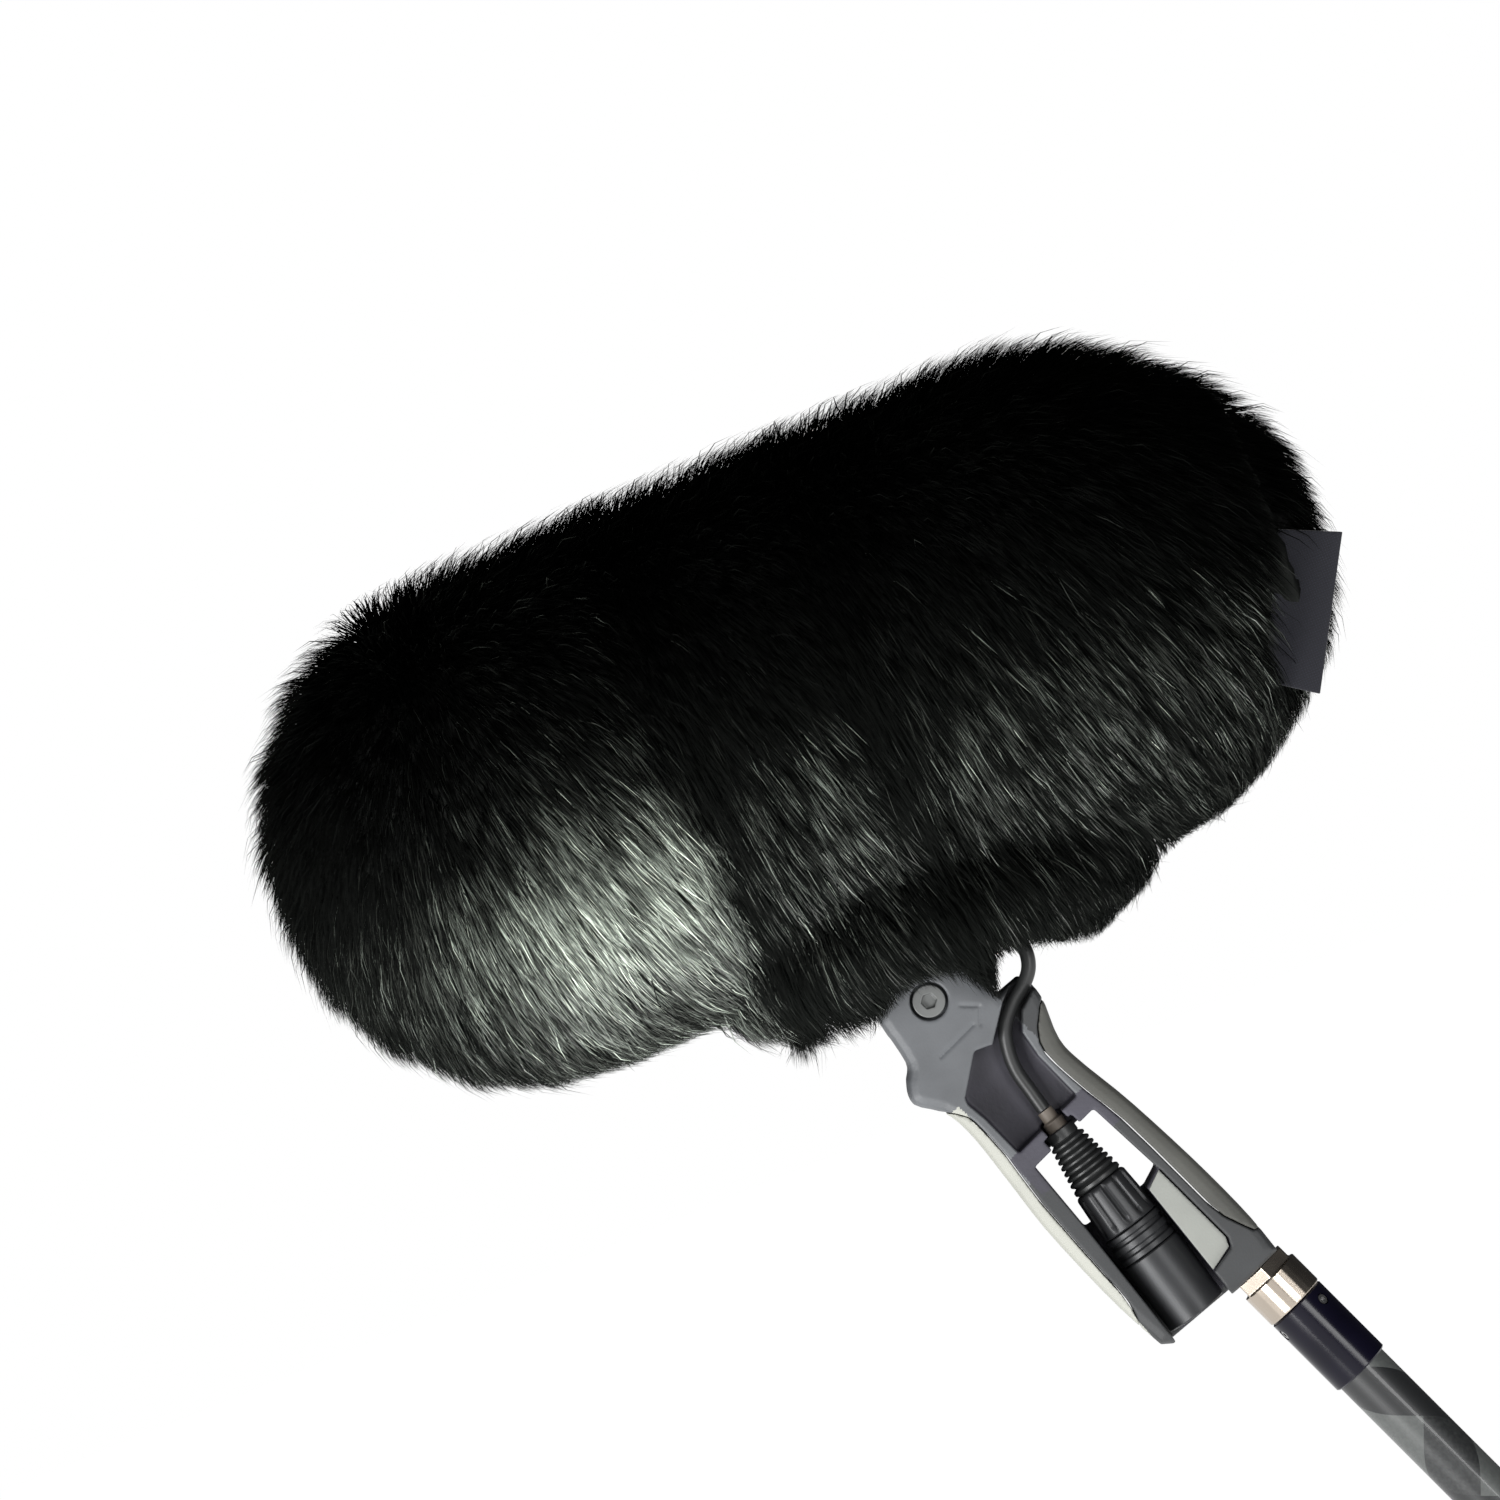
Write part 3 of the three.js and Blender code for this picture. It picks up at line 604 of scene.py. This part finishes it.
def ribbon_mesh(name, rng, lines, facing):
    """Each strand is a narrow ribbon that tapers to a point."""
    count = len(lines)
    ahead = lines[:, 3] - lines[:, 0]
    across = np.cross(ahead, facing + rng.normal(0, 0.35, facing.shape))
    across /= np.linalg.norm(across, axis=1)[:, None] + 1e-12
    share = rng.uniform(*STRAND_WIDTHS, count)[:, None, None]
    width = across[:, None, :] * WIDTHS[None, :, None] * MM * share
    vertices = np.empty((count, 7, 3))
    vertices[:, 0:6:2] = lines[:, :3] - width
    vertices[:, 1:6:2] = lines[:, :3] + width
    vertices[:, 6] = lines[:, 3]
    pattern = np.array([0, 1, 3, 2, 2, 3, 5, 4, 4, 5, 6])
    loops = (np.arange(count)[:, None] * 7 + pattern).ravel()
    starts = (np.arange(count)[:, None] * 11 + np.array([0, 4, 8])).ravel()
    mesh = bpy.data.meshes.new(name)
    mesh.vertices.add(count * 7)
    mesh.vertices.foreach_set("co", vertices.ravel())
    mesh.loops.add(len(loops))
    mesh.loops.foreach_set("vertex_index", loops)
    mesh.polygons.add(len(starts))
    mesh.polygons.foreach_set("loop_start", starts)
    mesh.update(calc_edges=True)
    mesh.shade_smooth()
    return new_piece(name, mesh)


def grown_strands(rng, places, normals, corners):
    """Every strand's line, spot and facing, the clump it belongs to, and the number of clumps."""
    spots, facing = scattered(rng, STRANDS, places, normals, corners)
    covered = ~bare(spots)
    spots, facing = spots[covered], facing[covered]
    count = len(spots)
    stray = (rng.random(count) < STRAY_SHARE).astype(float)
    length = STRAND_LENGTH * rng.uniform(0.84, 1.1, count) * (1 + 0.14 * stray)
    lines = strand_lines(rng, spots, facing, length, stray)
    clumps = count // CLUMP_SIZE
    centres, centre_facing = scattered(rng, clumps, places, normals, corners)
    centre_length = STRAND_LENGTH * rng.uniform(0.88, 1.1, clumps)
    centre_lines = strand_lines(rng, centres, centre_facing, centre_length, np.zeros(clumps))
    lines, owner = clumped(lines, centre_lines[:, 0], centre_lines, stray)
    lines = trimmed(rng, pressed(lines, spots, facing))
    lines[..., 1] = np.clip(lines[..., 1], -SIDE_LIMIT * MM, SIDE_LIMIT * MM)
    crossing = over_label(lines[:, 3], -0.8) | over_label(lines[:, 2], -0.8)
    shown = ~crossing | (rng.random(count) < CROSSING_SHARE)
    return lines[shown], spots[shown], facing[shown], owner[shown], clumps


def strand_tones(rng, spots, owner, clumps):
    """Which fibre each strand is: painted shade above, low down, at partings, nose and rear; painted sheen
    low in front.
    """
    x, _, z = basket_space(spots).T
    parting_shade = sum(np.exp(-((x - place) / width) ** 2) for place, width in SHADED_PARTINGS)
    clump_tone = rng.uniform(-CLUMP_TONE_SPREAD, CLUMP_TONE_SPREAD, clumps)
    tones = TONE_MIDDLE + clump_tone[owner] + rng.normal(0, TONE_SPREAD, len(spots))
    # painted sheen, low in front
    middle_x, spread_x, middle_z, spread_z = PAINTED_SHEEN_PATCH
    sheen_paint = np.exp(-((x - middle_x) / spread_x) ** 2 - ((z - middle_z) / spread_z) ** 2)
    # painted shade at the partings, by height and at the ends, less the painted sheen, in tone steps
    darker = (PARTING_SHADE_STEPS * parting_shade + np.interp(z, *SHADE_PAINTED_BY_HEIGHT)
              + np.interp(x, *SHADE_PAINTED_AT_ENDS) - PAINTED_SHEEN_STEPS * sheen_paint)
    return np.clip(np.rint(tones - darker), 0, len(FIBRE_TONES) - 1).astype(int)


def make_fur():
    base, places, normals, corners = undercoat()
    place_piece(base, "fur_cover")
    rng = np.random.default_rng(11)
    lines, spots, facing, owner, clumps = grown_strands(rng, places, normals, corners)
    tones = strand_tones(rng, spots, owner, clumps)
    count = len(lines)
    fibres = fibre_materials()
    for i in range(FUR_PIECES):
        part = slice(i * count // FUR_PIECES, (i + 1) * count // FUR_PIECES)
        pile = ribbon_mesh(f"fur_pile_{i + 1}", rng, lines[part], facing[part])
        place_piece(pile, "fur_cover", materials=fibres)
        pile.data.polygons.foreach_set("material_index", np.repeat(tones[part], 3))


# ---- label, handle, plug, lead and pole ----
def make_label():
    """The folded woven tape tab stitched into the cover's seam, drawn as one thin waved sheet with rounded
    edges.
    """
    corners = [in_basket(x, LABEL_DEPTH, z) for x, z in LABEL_CORNERS]
    mesh = bpy.data.meshes.new("label_tab_fine")
    made = bmesh.new()
    rows, columns = 40, 8
    grid = []
    for i in range(rows + 1):
        along = i / rows
        left = corners[0].lerp(corners[3], along)
        right = corners[1].lerp(corners[2], along)
        row = []
        for k in range(columns + 1):
            across = k / columns
            point = left.lerp(right, across)
            point.y += (0.5 * math.sin(along * 5.0) * across + 0.25 * math.sin(across * 7)) * MM
            row.append(made.verts.new(point))
        grid.append(row)
    for low, high in zip(grid, grid[1:]):
        for k in range(columns):
            made.faces.new((low[k], low[k + 1], high[k + 1], high[k]))
    made.to_mesh(mesh)
    made.free()
    piece = new_piece("label_tab_fine", mesh)
    thick = piece.modifiers.new("thick", "SOLIDIFY")
    thick.thickness = 1.1 * MM
    thick.offset = 0
    rounded = piece.modifiers.new("rounded", "BEVEL")
    rounded.width = 0.3 * MM
    rounded.segments = 2
    apply_modifiers(piece)
    smooth_by_angle(piece.data)
    place_piece(piece, "label_tab")


def within(value, span):
    return span[0] < value < span[1]


def shell_finish(piece):
    """Recess and cavity dark, the cavity's walls as painted shade; grip darker than the head; front edge
    light.
    """
    mesh = piece.data
    dress(piece, [FINISH["head_grey"], FINISH["recess"], FINISH["shell_dark"], FINISH["pad_light"]])
    to_handle = HANDLE_FRAME.inverted()
    for face in mesh.polygons:
        u, y, v = to_handle @ face.center / MM
        # every face in the cavity takes the recess finish: the recess's own dark plastic, and on its walls
        # painted shade
        in_cavity = within(y, CAVITY_ACROSS) and within(u, CAVITY_DEEP) and within(v, CAVITY_HIGH)
        on_bar = within(v, BAR_HIGH) and within(u, BAR_DEEP)
        if v < STRIP_TOP and u < np.interp(v, *FRONT_STRIP):
            face.material_index = 3
        elif in_cavity or on_bar:
            face.material_index = 1
        elif v < GRIP_TOP or (u > SHOULDER_FRONT and v < SHOULDER_TOP):
            face.material_index = 2


def make_handle():
    for node in ("handle_left", "handle_right"):
        piece = softened(node, 0.42, rounds=3, keep=0.45)
        place_piece(piece, node)
        shell_finish(piece)
    for node in ("front_pad", "back_pad"):
        place_piece(softened(node, 0.5, rounds=5, keep=0.6), node)
    place_piece(softened("inner_panel", 0.25, rounds=3), "inner_panel", materials=[FINISH["panel"]])
    place_piece(softened("pivot_bolt", 0.18, rounds=3), "pivot_bolt", materials=[FINISH["bolt_grey"]])
    for node, voxel in (("clamp_lever", 0.3), ("stalk", 0.5), ("plug_saddle", 0.3)):
        place_piece(softened(node, voxel, rounds=3), node)


def make_lead():
    line = smooth_route([in_handle(*point) for point in LOOP_ROUTE])
    piece = tube("lead_loop_fine", line, LEAD_RADIUS * MM)
    dress(piece, [FINISH["dark_rubber"]])
    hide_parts("lead_loop")
    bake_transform(piece)


def rounded_step(radius, top, bottom, ease=0.25):
    return [(radius - ease, top), (radius, top - ease), (radius, bottom + ease), (radius - ease, bottom)]


def make_plug():
    boot = [(0, 2.5), (2.3, 2.5), (2.4, -0.7), (3.2, -1.3), (3.2, -4), *rounded_step(4.6, -4.2, -7.4)]
    for fin in range(7):
        top = -8.1 - fin * 1.85
        radius = 5.6 + fin * 0.3
        boot += [(4.4 + fin * 0.25, top + 0.55), *rounded_step(radius, top, top - 1.1, 0.3)]
    boot += [(6.4, -20.9), *rounded_step(7.7, -21.3, -23, 0.4), (0, -23)]
    piece = revolved("cable_boot_fine", boot, PLUG_FRAME)
    place_piece(piece, "cable_boot", materials=[FINISH["dark_rubber"], FINISH["boot_neck"]])
    to_plug = PLUG_FRAME.inverted()
    for face in piece.data.polygons:
        face.material_index = int((to_plug @ face.center).z > -4.1 * MM)

    def flute(turn, height):
        fade = max(0.0, min(1.0, (height + 37.2) / 2.2)) * max(0.0, min(1.0, (-24 - height) / 1.5 + 0.6))
        return 0.85 * fade * max(0.0, math.cos(12 * turn)) ** 3

    rows = [(8.3 + 0.8 * i / 16, -24.2 - 12.8 * i / 16) for i in range(17)]
    cap = [(0, -23.3), (7.3, -23.3), (7.9, -23.6), *rows, (9.15, -37.6), (8.8, -38), (0, -38)]
    place_piece(revolved("plug_cap_fine", cap, PLUG_FRAME, 144, flute), "plug_cap")
    ring = [(0, -38.3), *rounded_step(9.2, -38.3, -40), (8.55, -40.3), (8.55, -41.2),
            *rounded_step(9.2, -41.5, -43.6), (8.55, -43.9), (8.55, -44.9), *rounded_step(9.2, -45.2, -47),
            (0, -47)]
    place_piece(revolved("plug_ring_fine", ring, PLUG_FRAME), "plug_ring")
    barrel = [(0, -47.3), *rounded_step(9.4, -47.3, -69.5, 0.4), (8.3, -69.6), (7.9, -69.2), (7.9, -49.3),
              (0, -49.3)]
    place_piece(revolved("plug_barrel_fine", barrel, PLUG_FRAME), "plug_barrel")


def bored(piece, radius, near, far, height):
    """Cuts the collar's radial set-screw holes."""
    for degrees in SET_SCREW_TURNS:
        made = bmesh.new()
        bmesh.ops.create_cone(made, cap_ends=True, segments=32, radius1=radius * MM, radius2=radius * MM,
                              depth=(far - near) * MM)
        turn = (POLE_FRAME @ Matrix.Rotation(math.radians(degrees), 4, "Z")
                @ Matrix.Translation(Vector((0, -(near + far) / 2, height)) * MM)
                @ Matrix.Rotation(math.pi / 2, 4, "X"))
        made.transform(turn)
        mesh = bpy.data.meshes.new("cutter")
        made.to_mesh(mesh)
        made.free()
        cutter = new_piece("cutter", mesh)
        hole = piece.modifiers.new("hole", "BOOLEAN")
        hole.object = cutter
        hole.solver = "EXACT"
        apply_modifiers(piece)
        bpy.data.objects.remove(cutter)
    smooth_by_angle(piece.data)


def make_pole():
    place_piece(softened("pole_tip", 0.22, rounds=2), "pole_tip")
    collar = revolved("pole_collar_fine", [(8.45, -161.5), (8.8, -161.5), (9.2, -161.1), (9.2, -135.6),
                                           (8.8, -135.2), (6.6, -135.2), (6.6, -142.6), (8.45, -142.6)],
                      POLE_FRAME, 128)
    bored(collar, 1.8, 6, 12, -139.3)
    place_piece(collar, "pole_collar")
    tube_piece = revolved("pole_tube_fine", [(6.65, -225), (7.95, -225), (8.15, -224.8), (8.15, -143),
                                             (6.65, -143)], POLE_FRAME, 128)
    place_piece(tube_piece, "pole_tube")


def dress_frame_nodes():
    for name, node in nodes.items():
        dress(node, [FINISH[SLOT_OF[name]]])


# ---- stage ----
FLOOR_HEIGHT = -0.5
FLOOR_GLOW = 0.98
WORLD_LIGHT = 0.03                     # what the white surroundings add to the light
# name, place, aim from the pivot, size, power in watts, and whether it lights the fur alone
LIGHTS = [("low_front", (-0.40, -0.46, -0.09), (-0.06, 0, 0.05), 0.35, 32, True),
          ("back", (0.1, 1.2, 0.25), (0, 0, 0.08), 0.8, 60, True),
          ("handle_side", (0.5, -1.3, 0.35), (0.05, 0, -0.06), 0.5, 7, False),
          ("edge", (-0.55, -0.55, 0.0), (0.03, 0, -0.06), 0.3, 4.5, False)]


def make_stage():
    bpy.ops.mesh.primitive_plane_add(size=30, location=(0, 0, FLOOR_HEIGHT))
    floor = bpy.context.object
    floor.name = "floor"
    paper, _, _, shader = shader_of("paper")
    shader.inputs["Base Color"].default_value = (0.9, 0.9, 0.9, 1)
    shader.inputs["Roughness"].default_value = 0.9
    shader.inputs["Emission Color"].default_value = (1, 1, 1, 1)
    shader.inputs["Emission Strength"].default_value = FLOOR_GLOW
    dress(floor, [paper])
    world = bpy.data.worlds.new("studio")
    bpy.context.scene.world = world
    world.use_nodes = True
    tree = world.node_tree
    dim = tree.nodes["Background"]
    dim.inputs["Color"].default_value = (0.92, 0.95, 1.0, 1)
    dim.inputs["Strength"].default_value = WORLD_LIGHT
    white = tree.nodes.new("ShaderNodeBackground")
    white.inputs["Color"].default_value = (1, 1, 1, 1)
    seen = tree.nodes.new("ShaderNodeLightPath")
    mix = tree.nodes.new("ShaderNodeMixShader")
    tree.links.new(seen.outputs["Is Camera Ray"], mix.inputs["Fac"])
    tree.links.new(dim.outputs["Background"], mix.inputs[1])
    tree.links.new(white.outputs["Background"], mix.inputs[2])
    tree.links.new(mix.outputs["Shader"], tree.nodes["World Output"].inputs["Surface"])


def soft_light(name, place, target, size, power, only=None):
    """A square soft box; with a list of pieces, it lights only those."""
    data = bpy.data.lights.new(name, "AREA")
    data.size = size
    data.energy = power
    light = bpy.data.objects.new(name, data)
    light.location = place
    light.visible_camera = False
    light.rotation_euler = (Vector(target) - Vector(place)).to_track_quat("-Z", "Y").to_euler()
    bpy.context.scene.collection.objects.link(light)
    if only:
        lit = bpy.data.collections.new(f"{name}_lights")
        for piece in only:
            lit.objects.link(piece)
        light.light_linking.receiver_collection = lit


def make_lights():
    pile = [piece for piece in bpy.data.objects if piece.name.startswith("fur_")]
    for name, place, aim, size, power, fur_only in LIGHTS:
        soft_light(name, place, PIVOT + Vector(aim), size, power, only=pile if fur_only else None)


make_camera()
make_lead()
make_stage()
dress_frame_nodes()
make_fur()
make_label()
make_handle()
make_plug()
make_pole()
make_lights()
bpy.context.scene.view_settings.view_transform = "Standard"
